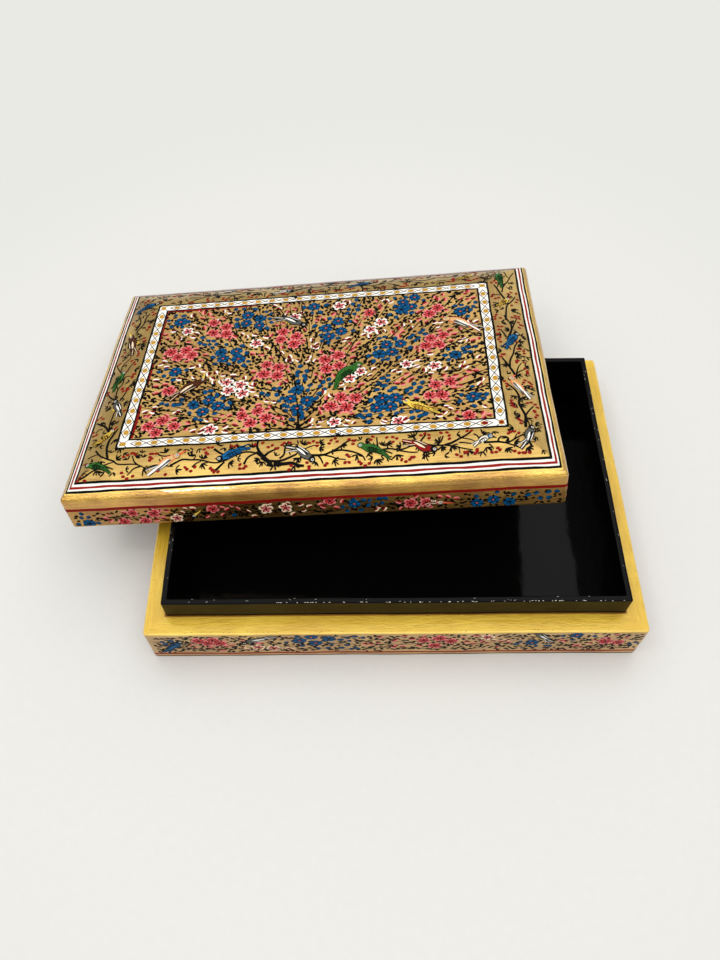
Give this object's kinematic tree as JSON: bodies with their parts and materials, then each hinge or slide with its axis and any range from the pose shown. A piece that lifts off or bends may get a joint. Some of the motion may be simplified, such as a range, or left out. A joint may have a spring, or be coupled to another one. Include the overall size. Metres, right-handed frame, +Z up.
{
  "type": "papier mache box",
  "caption": "Flat rectangular papier mache box with a raised collar and a deep, crowned lift-off lid that lies ajar on it, painted with flowers and birds.",
  "frame": {"origin": "middle of the flat underside that the box stands on", "axes": "+Z up, +X to the right along the length of the box, +Y to the back, seen from the side that the picture shows"},
  "size_m": [0.2969, 0.2341, 0.0884],
  "materials": {
    "gold_painted_tray": "yellow gold paint under clear varnish, on papier mache",
    "gold_painted_lid": "old gold paint with painted flowers and birds under clear varnish, on papier mache",
    "black_lacquer": "glossy black lacquer on papier mache"
  },
  "bodies": {
    "tray": {"base_floor_board": "black_lacquer", "base_front_wall": "gold_painted_tray", "base_back_wall": "gold_painted_tray", "base_left_wall": "gold_painted_tray", "base_right_wall": "gold_painted_tray", "collar_front_strip": "black_lacquer", "collar_back_strip": "black_lacquer", "collar_left_strip": "black_lacquer", "collar_right_strip": "black_lacquer"},
    "lid": {"lid_front_wall": "gold_painted_lid", "lid_back_wall": "gold_painted_lid", "lid_left_wall": "gold_painted_lid", "lid_right_wall": "gold_painted_lid", "lid_board": "black_lacquer", "lid_crown": "gold_painted_lid"}
  },
  "joints": [
    {"name": "lid_lift", "type": "slide", "parent": "tray", "child": "lid", "axis": [0, 0, 1], "range_m": [0, 0.15]}
  ]
}
